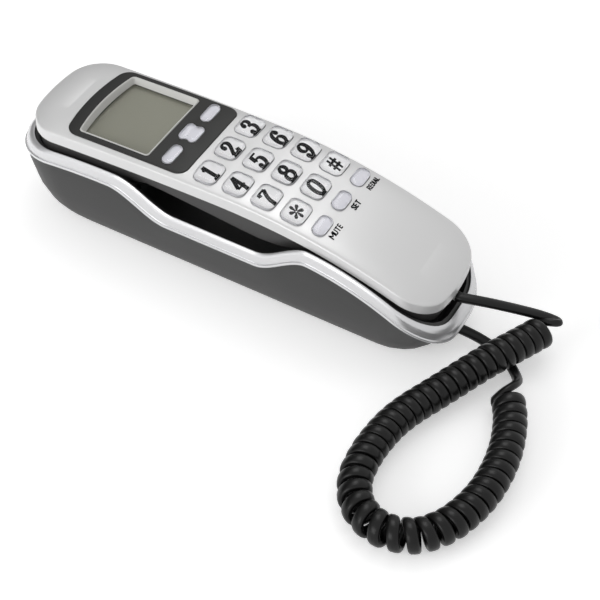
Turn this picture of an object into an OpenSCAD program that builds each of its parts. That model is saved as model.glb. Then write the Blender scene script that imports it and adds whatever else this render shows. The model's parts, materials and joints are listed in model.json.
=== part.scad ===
// Corded telephone: a slim handset with its keypad on the back, lying in a boat-shaped desk base,
// and a curly cord from the handset to the base.
// X runs along the phone, from the earpiece end (-X) to the cord end (+X). Z is up from the table.

/* [Handset] */
// Gap between each end of the handset and the silver band
end_gap = 1.9; // [1.5:0.1:2.5]
// Gap between each side of the handset and the silver band
side_gap = 0.9; // [0.7:0.1:1.4]
// Handset centre, along the base
handset_x = 1.2; // [0.6:0.1:1.8]
// Depth of the handset from its highest line to the earpiece bulge
ear_depth = 29; // [28.5:0.5:33]
// Radius of the face's arch, on the cord side of the middle
arch_r = 240; // [225:5:300]
// Radius of the nearly flat face, on the display side
flat_r = 1520; // [1200:20:3000]
// Fall of the face from the middle line to its long edges
face_fall = 0.8; // [0.2:0.1:1.2]
// Narrowing of the outline per 100 mm towards the cord end
taper = 0.03; // [0:0.005:0.04]
// Corner radius of the handset outline
handset_corner = 16.5; // [13:0.5:20]
// Radius of the bowed handset ends
handset_bow = 95; // [70:5:200]
// Height of the silver side band
band_h = 5.2; // [4.4:0.2:5.6]
// Wall of the two handset shells
shell_wall = 1.9; // [1.6:0.1:2.1]
// Step in from the silver edge to the dark lower shell
shadow_step = 0.9; // [0.7:0.1:1.1]
// Lowest point of the earpiece bulge
ear_z = 27; // [26.5:0.1:28]
// Underside of the grip
grip_z = 38; // [37.8:0.1:38.6]
// Lowest point of the mouthpiece bulge
mouth_z = 16.6; // [16.2:0.1:17.6]

/* [Display] */
// Length of the dark panel
panel_len = 61; // [58:0.5:62]
// Width of the silver margin beside the dark panel
panel_side = 2.2; // [2:0.1:3]
// Distance of the panel's middle from the earpiece end
panel_set = 50; // [49:0.1:51]
// Radius of the panel's bowed earpiece end
panel_bow = 110; // [90:10:300]
// Thickness of the dark panel
panel_t = 1.5; // [1.2:0.1:1.7]
// Margin of the window at the panel's earpiece end
window_end = 5.6; // [5:0.1:6.5]
// Margin of the window at the panel's sides
window_side = 2.6; // [2.3:0.1:4]
// Depth of the window's bevelled frame
frame_depth = 2.6; // [2.2:0.1:3]
// Thickness of the clear lens
lens_t = 1; // [0.8:0.1:1.2]

/* [Keys] */
// Distance of the first row of digit keys from the panel
key_set = 8.3; // [7.6:0.1:9]
// Spacing of the rows
row_pitch = 13.65; // [13.2:0.05:13.75]
// Digit key, size along the phone
key_l = 10.6; // [9.6:0.1:11]
// Gap between the keys of a row
key_apart = 4.1; // [3.8:0.1:6]
// Corner radius of a digit key
key_r = 3.6; // [2.5:0.1:4.4]
// Height of a key above the face
key_proud = 1.2; // [0.8:0.1:1.6]
// Gap round a key in its hole
key_gap = 0.35; // [0.3:0.05:0.45]
// Travel of a key
key_travel = 1; // [0.6:0.1:1.1]
// Distance of the function keys from the last row of digit keys
func_set = 12.15; // [11.4:0.05:13]
// Function key, size along the phone
func_l = 6.2; // [5.4:0.1:7]
// Distance of the display's own keys from the panel's cord end
nav_set = 10.5; // [9.6:0.1:11.2]
// Display side keys, size along the phone
nav_l = 5.2; // [4.8:0.1:6.6]
// Middle display key, size along the phone
menu_l = 8.6; // [8:0.1:9.6]
// Middle display key, size across the phone
menu_w = 11; // [10:0.1:12]

/* [Base] */
// Length of the base over its silver band
base_len = 210.8; // [209:0.2:214]
// Width of the base over its silver band
base_w = 59; // [58.6:0.1:61]
// Width of the silver band at the ends
band_end = 4.5; // [4.2:0.1:5]
// Width of the silver band at the sides
band_side = 2.3; // [2.1:0.1:2.6]
// Middle of the clear opening, along the base
mouth_x = 0.8; // [0.4:0.1:1.2]
// Height of the band at the earpiece wing
wing_left_z = 43.8; // [43:0.1:44.2]
// Height of the band in the dip between the wings
dip_z = 33.2; // [32.4:0.1:33.4]
// Height of the band at the cord-side wing
wing_right_z = 45.2; // [44.4:0.1:45.4]
// Height of the silver band
rim_h = 6.6; // [6:0.1:7]
// Outward step of the lip at the foot of the band
lip_step = 0.6; // [0.3:0.1:0.9]
// Wall of the base shell
hull_wall = 2.2; // [1.8:0.1:2.3]
// Wall of the cradle
cradle_wall = 1.4; // [1.2:0.1:1.5]
// Slope of the base's long sides, as a step over the hull's height
side_flare = 5.6; // [4.8:0.1:6]
// Slope of the base's ends, as a step over the hull's height
end_flare = 6.5; // [5.5:0.1:7]
// Free height under the resting handset
seat_gap = 0.3; // [0.3:0.05:0.5]
// Floor of the finger recess under the grip
well_z = 22; // [21:0.5:23]
// Diameter of a rubber foot
foot_d = 9; // [7:0.5:10]
// Height of a foot below the shell
foot_proud = 0.6; // [0.5:0.1:1]

/* [Hook] */
// Rise of the hook plunger when the handset is lifted
hook_rise = 4; // [3:0.5:4.5]
// Plunger, size along the phone
hook_l = 4.6; // [4:0.1:5]
// Plunger, size across the phone
hook_w = 12; // [10:0.5:13]

/* [Cord] */
// Diameter of the cord
cord_d = 3.6; // [3:0.1:3.7]
// Outer diameter of the curls
curl_od = 14; // [13:0.2:14.4]
// Number of curls
curls = 46; // [36:1:47]

/* [Hidden] */
$fn = 40;
eps = 0.01;
mouth_len = base_len - 2 * band_end;
mouth_w = base_w - 2 * band_side;
handset_len = mouth_len - 2 * end_gap;
handset_w = mouth_w - 2 * side_gap;
handset_top = ear_z + ear_depth;
handset_end = handset_x + handset_len / 2;
handset_start = handset_x - handset_len / 2;
panel_x = handset_start + panel_set;
panel_w = handset_w - 2 * panel_side;
nav_x = panel_x + panel_len / 2 - nav_set;
window_len = panel_len - window_end - 18.7;
window_w = panel_w - 2 * window_side;
window_x = panel_x - panel_len / 2 + window_end + window_len / 2;
key_x0 = panel_x + panel_len / 2 + key_set;
func_x = key_x0 + 3 * row_pitch + func_set;
col_pitch = (handset_w - 1.9) / 3;
key_w = col_pitch - key_apart;
func_w = key_w - 1.6;
nav_w = panel_w / 2 - menu_w / 2 - 6.6;

// ---- outlines and lofts -------------------------------------------------------------------

END_N = 3;
CORNER_N = 6;
function lerp(a, b, t) = a + (b - a) * t;
function unit(t) = min(1, max(0, t));
function ease(t) = let (u = unit(t)) u * u * (3 - 2 * u);

// A quarter of an outline with bowed ends, from the end's middle round to the middle of the side
function quarter(a, b, rc, re, side_n) =
    let (xc = a - re + sqrt(pow(re - rc, 2) - pow(b - rc, 2)),
         turn = atan2(b - rc, xc - (a - re)))
    concat(
        [for (i = [0:END_N - 1]) let (t = turn * i / END_N) [a - re + re * cos(t), re * sin(t)]],
        [for (i = [0:CORNER_N - 1]) let (t = lerp(turn, 90, i / CORNER_N))
            [xc + rc * cos(t), b - rc + rc * sin(t)]],
        [for (i = [0:side_n]) [xc * (1 - i / side_n), b]]);
function outline(a, b, rc, re, side_n) =
    let (q = quarter(a, b, rc, re, side_n), n = len(q))
    let (h = concat(q, [for (i = [n - 2:-1:0]) [-q[i][0], q[i][1]]]))
    concat(h, [for (i = [len(h) - 2:-1:1]) [h[i][0], -h[i][1]]]);

// Two triangles for each step between ring k and ring m
function band_faces(k, m, n) = [for (i = [0:n - 1]) let (j = (i + 1) % n)
    each [[k * n + i, m * n + i, m * n + j], [k * n + i, m * n + j, k * n + j]]];
// A cap of strips across a ring that is symmetric about the X axis
function cap_down(k, n) = [for (i = [0:n / 2 - 1]) each concat(
    i + 1 == n - i - 1 ? [] : [[k * n + i, k * n + i + 1, k * n + n - i - 1]],
    i == 0 ? [] : [[k * n + i, k * n + n - i - 1, k * n + n - i]])];
function flip(faces) = [for (f = faces) [f[2], f[1], f[0]]];

// Rings from a face that looks down, along the walls, to a face that looks up
module loft(rings) {
    n = len(rings[0]);
    last = len(rings) - 1;
    polyhedron(points = [for (r = rings) each r], convexity = 6,
        faces = concat(cap_down(0, n), [for (k = [0:last - 1]) each band_faces(k, k + 1, n)],
            flip(cap_down(last, n))));
}
// Rings round a closed section
module loop_loft(rings) {
    n = len(rings[0]);
    m = len(rings);
    polyhedron(points = [for (r = rings) each r], convexity = 8,
        faces = [for (k = [0:m - 1]) each band_faces(k, (k + 1) % m, n)]);
}
module rounded(l, w, r) {
    square([l - 2 * r, w], center = true);
    square([l, w - 2 * r], center = true);
    for (x = [-1, 1], y = [-1, 1]) translate([x * (l / 2 - r), y * (w / 2 - r)]) circle(r);
}
module pad(l, w, r, z0, z1) translate([0, 0, z0]) linear_extrude(z1 - z0) rounded(l, w, r);
module block(x0, x1, w, z0, z1) translate([x0, -w / 2, z0]) cube([x1 - x0, w, z1 - z0]);
module post(x, y, d, z0, z1) translate([x, y, z0]) cylinder(d = d, h = z1 - z0);

// ---- handset surfaces ---------------------------------------------------------------------

HANDSET_SIDE_N = 9;
function crown_z(x) = handset_top - x * x / (2 * (x < 0 ? flat_r : arch_r));
function face_z(x, y) = crown_z(x) - face_fall * pow(2 * y / handset_w, 2);
function slope(x) = atan(x / (x < 0 ? flat_r : arch_r));
function handset_outline(inset) = [for (p = outline(handset_len / 2 - inset, handset_w / 2 - inset,
        max(handset_corner - inset, 1.5), handset_bow - inset, HANDSET_SIDE_N))
    [p[0] + handset_x, p[1] * (1 - taper * p[0] / 100)]];
// A ring that follows the face at a depth below it
function face_ring(inset, depth) = [for (p = handset_outline(inset))
    [p[0], p[1], face_z(p[0], p[1]) - depth]];
edge_depth = band_h + 0.75;
function edge_z(x, y) = face_z(x, y) - edge_depth - 0.06;
// Where the earpiece bulge ends and the mouthpiece bulge starts
ear_bulge_x = handset_start + 41.8;
mouth_bulge_x = handset_end - 56.2;
ear_ramp = 16;
mouth_ramp = 20;
// Underside of the lower shell along the phone
function belly_z(x) = let (grip = grip_z - (x > 0 ? 0.0006 * x * x : 0))
    lerp(lerp(ear_z, grip, ease((x - ear_bulge_x) / ear_ramp)), mouth_z,
        ease((x - mouth_bulge_x) / mouth_ramp));
function belly_ring(inset, f, lift) = [for (p = handset_outline(inset))
    [p[0], p[1], lerp(edge_z(p[0], p[1]), belly_z(p[0]) + lift, f)]];
// Between the bulges the flanks of the grip stand steep, down to a crease
flank_ramp = 16;
function grip_share(x) = ease((x - ear_bulge_x - flank_ramp / 2) / flank_ramp)
    * ease((mouth_bulge_x - flank_ramp / 4 - x) / flank_ramp);
// Depth of the crease, as a share of the way from the shell's edge to the underside
function crease(x) = min(0.95, max(0.5, 0.8 + 0.0093 * x));
// A ring of the grip's flank, whose depth is a share of the crease's once past a fixed share
function flank_ring(inset, f, steep_inset, fixed_f, crease_f) =
    let (soft = handset_outline(inset), steep = handset_outline(steep_inset))
    [for (i = [0:len(soft) - 1]) let (s = grip_share(soft[i][0]), p = lerp(soft[i], steep[i], s))
        [p[0], p[1], lerp(edge_z(p[0], p[1]), belly_z(p[0]),
            lerp(f, fixed_f + crease_f * crease(p[0]), s))]];

module handset_top_body() loft(concat(
    [face_ring(14, shell_wall), face_ring(shell_wall + 1, shell_wall + 0.3),
     face_ring(shell_wall, shell_wall + 1.2), face_ring(shell_wall, edge_depth)],
    [face_ring(0, edge_depth), face_ring(0, 2.1), face_ring(0.7, 1.1), face_ring(1.9, 0.4),
     face_ring(14, 0)]));
module handset_bottom_body() loft(concat(
    [belly_ring(9, 1, 0), flank_ring(5.2, 0.88, 4.6, 0.5, 0.5), flank_ring(2.9, 0.66, 1.7, 0, 1),
     flank_ring(shadow_step + 0.7, 0.34, shadow_step + 0.35, 0, 0.5),
     belly_ring(shadow_step, 0, 0)],
    [belly_ring(shadow_step + shell_wall, 0, 0),
     belly_ring(shadow_step + shell_wall + 0.8, 0.34, shell_wall),
     belly_ring(3.1 + shell_wall, 0.66, shell_wall), belly_ring(6.4 + shell_wall, 1, shell_wall)]));

// ---- keys ---------------------------------------------------------------------------------

board_z = crown_z(func_x) - 7.35;
board_t = 1.6;
mat_z = board_z + 1.2;
key_foot_z = mat_z + key_travel + 0.2;
flange_t = 1;
menu_r = 2.6;
nav_pitch = menu_w / 2 + nav_w / 2 + 4;
module at_face(x, y) translate([x, y, face_z(x, y)]) rotate([0, slope(x), 0]) children();
// A cap with a softened top, two wings that hold it under the shell, and a stem down to the mat
module key_cap(x, y, l, w, r, wall) {
    foot = key_foot_z - face_z(x, y) + 0.3;
    wing_z = -wall - 0.5;
    at_face(x, y) {
        pad(l, w, r, wing_z - eps, key_proud - 0.45);
        pad(l - 0.9, w - 0.9, r - 0.45, key_proud - 0.45 - eps, key_proud);
        pad(l + 1.6, w - 2.4, r - 1.2, wing_z - flange_t, wing_z);
        pad(l * 0.6, w * 0.6, 1, foot, wing_z - flange_t + eps);
    }
}
module key_hole(x, y, l, w, r) at_face(x, y)
    pad(l + 2 * key_gap, w + 2 * key_gap, r + key_gap, -12, 6);
module digit_key(row, col) color("whitesmoke")
    key_cap(key_x0 + row * row_pitch, col * col_pitch, key_l, key_w, key_r, shell_wall + 0.2);
module func_key(col) color("lightgray")
    key_cap(func_x, col * col_pitch, func_l, func_w, func_l / 2 - 0.2, shell_wall + 0.2);
module nav_key(col) color("gainsboro")
    key_cap(nav_x, col * nav_pitch, nav_l, nav_w, nav_l / 2 - 0.2, shell_wall + 0.3);
module menu_key() color("gainsboro")
    key_cap(nav_x, 0, menu_l, menu_w, menu_r, shell_wall + 0.3);
module all_key_holes() {
    for (row = [0:3], col = [-1:1])
        key_hole(key_x0 + row * row_pitch, col * col_pitch, key_l, key_w, key_r);
    for (col = [-1:1]) key_hole(func_x, col * col_pitch, func_l, func_w, func_l / 2 - 0.2);
    nav_key_holes();
}
module nav_key_holes() {
    for (col = [-1, 1]) key_hole(nav_x, col * nav_pitch, nav_l, nav_w, nav_l / 2 - 0.2);
    key_hole(nav_x, 0, menu_l, menu_w, menu_r);
}

// ---- screws, jacks and plugs --------------------------------------------------------------

screw_d = 2.6;
head_d = 5.4;
head_h = 2;
head_sink = 3;
boss_d = 7;
handset_screw_x = [handset_start + 12.8, handset_end - 34.2];
boss_split = [36, 30];
module screw(x, y, z0, z1) {
    post(x, y, head_d, z0, z0 + head_h);
    post(x, y, screw_d, z0 + head_h - eps, z1);
}
jack_len = 12.4;
jack_w = 10.6;
jack_h = 9.2;
socket_w = 7.9;
socket_h = 6.6;
plug_gap = 0.15;
plug_len = 12;
plug_proud = 1.2;
neck_len = 1.8;
plug_out = plug_proud + neck_len;
neck_d = cord_d + 1;
// A four-contact socket that opens towards +X at x1
module cord_jack(x1, z) difference() {
    block(x1 - jack_len, x1, jack_w, z - jack_h / 2, z + jack_h / 2);
    block(x1 - jack_len + 1.2, x1 + 1, socket_w, z - socket_h / 2, z + socket_h / 2);
}
// A plug pushed home, with a round neck that holds the cord
module cord_plug(x1, z) {
    block(x1 - plug_len + plug_proud, x1 + plug_proud, socket_w - 2 * plug_gap,
        z - socket_h / 2 + plug_gap, z + socket_h / 2 - plug_gap);
    translate([x1 + plug_proud - eps, 0, z]) rotate([0, 90, 0])
        cylinder(d = neck_d, h = neck_len + eps);
}
handset_jack_x = handset_end - 3.4;
handset_jack_z = (crown_z(handset_jack_x) + mouth_z) / 2 - 1.14;
base_jack_x = base_len / 2 - 8.9;
base_jack_z = 7.5;

// ---- handset pieces -----------------------------------------------------------------------

panel_tilt = slope(panel_x);
module on_panel(x) translate([x, 0, crown_z(x)]) rotate([0, panel_tilt, 0]) children();
panel_proud = 0.3;
lcd_t = 5.6;
frame_rim = 0.15;

module handset_top_shell() color("silver") difference() {
    union() {
        handset_top_body();
        intersection() {
            for (i = [0, 1]) post(handset_screw_x[i], 0, boss_d, boss_split[i],
                crown_z(handset_screw_x[i]) - shell_wall + 0.6);
            block(-200, 200, 40, 0, handset_top);
        }
    }
    all_key_holes();
    on_panel(panel_x) translate([0, 0, panel_proud - panel_t]) linear_extrude(8)
        polygon(panel_plan(-0.15));
    on_panel(window_x) pad(window_len + 0.3, window_w + 0.3, 2.6, -12, 6);
    for (i = [0, 1]) post(handset_screw_x[i], 0, screw_d, boss_split[i] - 1, boss_split[i] + 8);
}
ear_grille_x = handset_start + 29;
mic_x = handset_end - 22.2;
speaker_d = 24;
magnet_d = 16;
mic_d = 9.7;
post_d = 5;
board_screw_d = 2;
board_post_y = handset_w / 2 - 11.3;
module grille(x, z, holes, r) {
    post(x, 0, 1.6, z - 4, z + 5);
    for (i = [0:holes - 1]) let (turn = 360 * i / holes)
        post(x + r * cos(turn), r * sin(turn), 1.6, z - 4, z + 5);
}
board_post_x = [handset_screw_x[0] + 9, -36, handset_screw_x[1] - 22];
module handset_bottom_shell() color("dimgray") difference() {
    union() {
        handset_bottom_body();
        for (i = [0, 1]) post(handset_screw_x[i], 0, boss_d,
            belly_z(handset_screw_x[i]) + 0.8, boss_split[i]);
        for (x = board_post_x, y = [-board_post_y, board_post_y])
            post(x, y, post_d, belly_z(x) + 0.8, board_z - board_t);
    }
    for (i = [0, 1]) let (z = belly_z(handset_screw_x[i])) {
        post(handset_screw_x[i], 0, head_d + 0.6, z - 4, z + head_sink);
        post(handset_screw_x[i], 0, screw_d + 0.4, z, boss_split[i] + 1);
    }
    grille(ear_grille_x, ear_z, 8, 5);
    grille(mic_x, mouth_z, 4, 2.6);
    block(handset_jack_x - jack_len - 0.3, handset_end + 3, jack_w + 0.3,
        handset_jack_z - jack_h / 2 - 0.15, handset_jack_z + jack_h / 2 + 0.15);
}
// The panel's outline round its middle, with the bow of the cord end taken out again
function panel_plan(inset) = let (half = panel_len / 2 - inset)
    [for (p = outline(half, panel_w / 2 - inset, 6 - min(inset, 3), panel_bow - inset, 3))
        [p[0] + max(p[0], 0) / half * p[1] * p[1] / (2 * panel_bow), p[1]]];
// The panel's flat underside, and its rim and top, which follow the face
function panel_outline(inset) = [for (p = panel_plan(inset)) [p[0] + panel_x, p[1]]];
function panel_under(inset) = [for (p = panel_outline(inset)) [p[0], p[1],
    crown_z(panel_x) - (p[0] - panel_x) * tan(panel_tilt) + panel_proud - panel_t + 0.06]];
function panel_ring(inset, rise) = [for (p = panel_outline(inset))
    [p[0], p[1], face_z(p[0], p[1]) + rise]];
module display_panel() color("darkslategray") difference() {
    loft([panel_under(0), panel_ring(0, panel_proud - 0.25), panel_ring(0.3, panel_proud),
        panel_ring(12, panel_proud)]);
    on_panel(window_x) pad(window_len + 0.3, window_w + 0.3, 2.6, -6, 6);
    nav_key_holes();
}
module display_frame() color("gainsboro") on_panel(window_x) difference() {
    pad(window_len, window_w, 2.4, -frame_depth - lens_t - 0.4, panel_proud + frame_rim);
    hull() {
        translate([1.4, 0, 0]) pad(window_len - 4.4, window_w - 4.6, 1.6, -frame_depth - 0.01, -frame_depth);
        pad(window_len - 0.8, window_w - 0.8, 2, panel_proud + frame_rim, panel_proud + 1);
    }
    translate([1.4, 0, 0]) pad(window_len - 4.4, window_w - 4.6, 1.6, -9, 0);
    translate([0.4, 0, 0]) pad(window_len - 1.8, window_w - 1.8, 1.6, -9, -frame_depth - 0.4);
}
module display_lens() color("lightcyan") on_panel(window_x) translate([0.4, 0, 0])
    pad(window_len - 2, window_w - 2, 1.5, -frame_depth - 0.4 - lens_t, -frame_depth - 0.42);
module lcd_module() color("darkseagreen") on_panel(window_x) translate([0.4, 0, 0])
    pad(window_len - 2.4, window_w - 2.4, 0.8, -frame_depth - 0.5 - lens_t - lcd_t,
        -frame_depth - 0.5 - lens_t);
module keypad_mat() color("gray") translate([(nav_x + func_x) / 2, 0, 0])
    pad(func_x - nav_x + 11, 2 * col_pitch + 7.4, 2, board_z, mat_z);
module main_board() color("seagreen") difference() {
    block(handset_screw_x[0] + 5, handset_screw_x[1] - 12, handset_w - 12.6,
        board_z - board_t, board_z);
    for (x = board_post_x, y = [-board_post_y, board_post_y])
        post(x, y, board_screw_d, board_z - 5, board_z + 5);
}
module earpiece_speaker() color("darkgray") {
    post(ear_grille_x, 0, speaker_d, ear_z + shell_wall + 0.5, ear_z + shell_wall + 4);
    post(ear_grille_x, 0, magnet_d, ear_z + shell_wall + 4 - eps, ear_z + shell_wall + 7.6);
}
module microphone() color("dimgray")
    post(mic_x, 0, mic_d, mouth_z + shell_wall + 0.1, mouth_z + shell_wall + 5.2);
module handset_jack() color("black") cord_jack(handset_jack_x, handset_jack_z);
module handset_plug() color("gainsboro") cord_plug(handset_jack_x, handset_jack_z);
module handset_screws() color("gray") for (i = [0, 1]) let (z = belly_z(handset_screw_x[i]) + head_sink)
    screw(handset_screw_x[i], 0, z - head_h, boss_split[i] + 7);

// ---- base surfaces ------------------------------------------------------------------------

BASE_SIDE_N = 23;
hull_h = 26;
lean_left = 3.5;
lean_right = 0.6;
// Top line of the silver band, where t goes from 0 on its top to 1 at its foot
function rim_z(x, t) =
    let (left = wing_left_z - 0.0018 * pow(max(-x - 50, 0), 2), q = max(x - 42, 0),
         tail = 0.012 * (1 - 0.45 * t) * pow(max(x - 85, 0), 2),
         right = wing_right_z - 0.08 * q - 0.0048 * q * q - tail)
    lerp(lerp(left, dip_z, ease((x + 49 + lean_left * t) / 29)), right,
        ease((x - 19 - lean_right * t) / 24.5));
function hull_top(x) = rim_z(x, 1) - rim_h - 0.15;
// Outline of the band, where u goes from 0 outside to 1 at the clear opening
function rim_outline(u, inset) = [for (p = outline(lerp(base_len, mouth_len, u) / 2 - inset,
        lerp(base_w, mouth_w, u) / 2 - inset, lerp(22.5, 20, u) - inset, 200, BASE_SIDE_N))
    [p[0] + mouth_x * u, p[1]]];
function rim_ring(u, inset, drop) = [for (p = rim_outline(u, inset))
    [p[0], p[1], rim_z(p[0], min(1, drop / rim_h)) - drop]];
// Outline of the hull at a share t of its full flare
function hull_outline(t, inset) =
    let (a = base_len / 2 - 1.8 - end_flare * (1 - t) - 10.3 * pow(1 - t, 6) - inset,
         b = base_w / 2 - 0.4 - side_flare * (1 - t) - 3.9 * pow(1 - t, 6) - inset)
    [for (p = outline(a, b, 22 - 4 * (1 - t) - inset, 180 - 110 * (1 - t) - inset, BASE_SIDE_N))
        [p[0] + 3.5 * pow(1 - t, 2), p[1]]];
// A point of the hull at a share f of the local height; the topmost ring is the seat of the band
function hull_ring(f, inset, floor_z) =
    let (top = hull_outline(1, 0), n = len(top))
    [for (i = [0:n - 1])
        let (z = max(floor_z, lerp(foot_proud, hull_top(top[i][0]), f)),
             t = f == 1 ? 1 : unit((z - foot_proud) / hull_h), p = hull_outline(t, inset)[i])
        [p[0], p[1], f == 1 ? hull_top(p[0]) : z]];

module base_hull() loft(concat(
    [hull_ring(0, 0, 0), hull_ring(0.045, 0, 0), hull_ring(0.12, 0, 0), hull_ring(0.25, 0, 0),
     hull_ring(0.5, 0, 0), hull_ring(0.86, 0, 0), hull_ring(1, 0, 0)],
    [hull_ring(1, hull_wall, 0), hull_ring(0.86, hull_wall, 0), hull_ring(0.5, hull_wall, 0),
     hull_ring(0.25, hull_wall, foot_proud + hull_wall),
     hull_ring(0.02, hull_wall + 0.4, foot_proud + hull_wall)]));
// Floor of the cradle along the base
seat_ear_z = ear_z - seat_gap;
seat_mouth_z = mouth_z - seat_gap;
function cradle_z(x) =
    lerp(lerp(seat_ear_z, well_z, ease((x - ear_bulge_x - 2) / 10)), seat_mouth_z,
        ease((x - mouth_bulge_x + 4) / 12));
function cradle_ring(inset, g, lift) = [for (p = rim_outline(1, inset))
    [p[0], p[1], lerp(rim_z(p[0], 0) - 1.2, cradle_z(p[0]) + lift, g)]];
module cradle_body() loft(concat(
    [cradle_ring(7, 1, -cradle_wall), cradle_ring(3.6, 0.93, -cradle_wall),
     cradle_ring(1.6, 0.6, -cradle_wall), cradle_ring(0.2, 0, 0)],
    [cradle_ring(0.2 + cradle_wall, 0, 0), cradle_ring(1.6 + cradle_wall, 0.6, 0),
     cradle_ring(3.6 + cradle_wall, 0.93, 0), cradle_ring(6.6 + cradle_wall, 1, 0)]));

// ---- base pieces --------------------------------------------------------------------------

floor_z = foot_proud + hull_wall;
base_screw_xy = [[-50, 13], [-50, -13], [54, 13], [54, -13]];
foot_x = [-base_len / 2 + 35.4, base_len / 2 - 31.4];
foot_xy = [for (x = foot_x, y = [11, -11]) [x, y]];
foot_sink = 0.9;
base_boss_split = 9.5;
hook_x = -base_len / 2 + 29.4;
base_board_z = 8.2;
base_board_t = 1.6;
switch_h = 4.6;
base_post_xy = [[-66, 6], [-66, -6], [-14, 6], [-14, -6]];
line_jack_x = -base_len / 2 + 13.4;
line_socket_w = 10.2;
line_socket_h = 7.2;
line_jack_len = 12;
line_jack_w = 13;
line_jack_h = 9.6;
line_jack_z = 7.7;

module base_shell() color([0.22, 0.22, 0.23]) difference() {
    union() {
        base_hull();
        for (p = base_screw_xy) post(p[0], p[1], boss_d, floor_z - 0.6, base_boss_split);
        for (p = base_post_xy) post(p[0], p[1], post_d, floor_z - 0.6, base_board_z - base_board_t);
        block(base_jack_x - 6, base_jack_x + 0.4, jack_w + 3.5, foot_proud, base_jack_z + jack_h / 2 + 1.4);
        block(line_jack_x - 0.4, line_jack_x + 6, line_jack_w + 3.5, foot_proud,
            line_jack_z + line_jack_h / 2 + 1.4);
    }
    for (p = base_screw_xy) {
        post(p[0], p[1], head_d + 0.6, -1, foot_proud + head_sink);
        post(p[0], p[1], screw_d + 0.4, 0, base_boss_split + 1);
    }
    for (p = foot_xy) post(p[0], p[1], foot_d + 0.2, -1, foot_proud + foot_sink);
    block(base_jack_x - 14, base_jack_x + 12, jack_w + 0.3,
        base_jack_z - jack_h / 2 - 0.15, base_jack_z + jack_h / 2 + 0.15);
    block(line_jack_x - 12, line_jack_x + 14, line_jack_w + 0.3,
        line_jack_z - line_jack_h / 2 - 0.15, line_jack_z + line_jack_h / 2 + 0.15);
}
module cradle() color([0.05, 0.05, 0.05]) difference() {
    union() {
        cradle_body();
        for (p = base_screw_xy) post(p[0], p[1], boss_d, base_boss_split, cradle_z(p[0]) - 0.6);
    }
    for (p = base_screw_xy) post(p[0], p[1], screw_d, 0, base_boss_split + 5);
    block(hook_x - hook_l / 2 - 0.3, hook_x + hook_l / 2 + 0.3, hook_w + 0.6, 0, ear_z + 6);
}
module silver_band() color("silver") loop_loft([
    rim_ring(0, 0.3, rim_h), rim_ring(0, 0, rim_h - 0.4), rim_ring(0, 0, rim_h - 1.2),
    rim_ring(0, lip_step, rim_h - 1.8), rim_ring(0.25, 0.3, 1.5), rim_ring(0.5, 0.3, 0.35),
    rim_ring(0.85, 0, 0), rim_ring(1, 0, 0.5), rim_ring(1, 0, rim_h)]);
module hook_plunger() color("dimgray") {
    block(hook_x - hook_l / 2, hook_x + hook_l / 2, hook_w, ear_z - seat_gap - 5, ear_z - 1.3);
    translate([hook_x, 0, ear_z - 1.3 - seat_gap]) intersection() {
        translate([0, hook_w / 2, -hook_l / 2 + 1.3]) rotate([90, 0, 0])
            cylinder(d = hook_l, h = hook_w);
        block(-hook_l, hook_l, hook_w, -0.2, 1.3);
    }
    block(hook_x - 3.4, hook_x + 3.4, hook_w + 2, ear_z - 7.6, ear_z - 6.4);
    block(hook_x - 2, hook_x + 2, 7, base_board_z + switch_h + 0.3, ear_z - seat_gap - 5 + eps);
}
module hook_switch() color("black")
    block(hook_x - 3, hook_x + 3, 6, base_board_z, base_board_z + switch_h);
module base_board() color("seagreen") difference() {
    block(hook_x - 3.6, -8, 18.4, base_board_z - base_board_t, base_board_z);
    for (p = base_post_xy)
        post(p[0], p[1], board_screw_d, base_board_z - 5, base_board_z + 5);
}
module ringer() color("black") difference() {
    post(20, 0, 24, floor_z, floor_z + 7);
    post(20, 0, 3, floor_z + 5, floor_z + 8);
}
module base_handset_jack() color("black") cord_jack(base_jack_x, base_jack_z);
module base_plug() color("gainsboro") cord_plug(base_jack_x, base_jack_z);
module line_jack() color("black") difference() {
    block(line_jack_x, line_jack_x + line_jack_len, line_jack_w,
        line_jack_z - line_jack_h / 2, line_jack_z + line_jack_h / 2);
    block(line_jack_x - 1, line_jack_x + line_jack_len - 1.5, line_socket_w,
        line_jack_z - line_socket_h / 2, line_jack_z + line_socket_h / 2);
}
module rubber_feet() color([0.12, 0.12, 0.12])
    for (p = foot_xy) post(p[0], p[1], foot_d, 0, foot_proud + foot_sink);
module base_screws() color("gray")
    for (p = base_screw_xy) screw(p[0], p[1], foot_proud + head_sink - head_h, base_boss_split + 4.6);

// ---- cord ---------------------------------------------------------------------------------

// Middle line of the coil, from the handset's end to the base's end: X, Y and height of its
// underside above the table
coil_route = [[136, 13.4, 5], [131.6, 4.2, 5], [127, -5, 5], [122.2, -14, 4.4], [117.4, -22.8, 2.8],
    [112.8, -31.6, 1.2], [108.4, -40.6, 0.2], [104.4, -49.8, 0], [101.4, -59.4, 0],
    [99.8, -69.6, 0], [99.4, -80.4, 0], [101.2, -92.6, 0], [107.8, -103, 0], [119.2, -107.8, 0],
    [131.6, -104.6, 0], [139.8, -95.4, 0], [144.2, -85, 0], [146.6, -74.4, 0], [147.2, -63.6, 0],
    [146.4, -53, 0], [144.2, -42.8, 0], [140.8, -33.2, 0], [135.6, -23.8, 0]];
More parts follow.
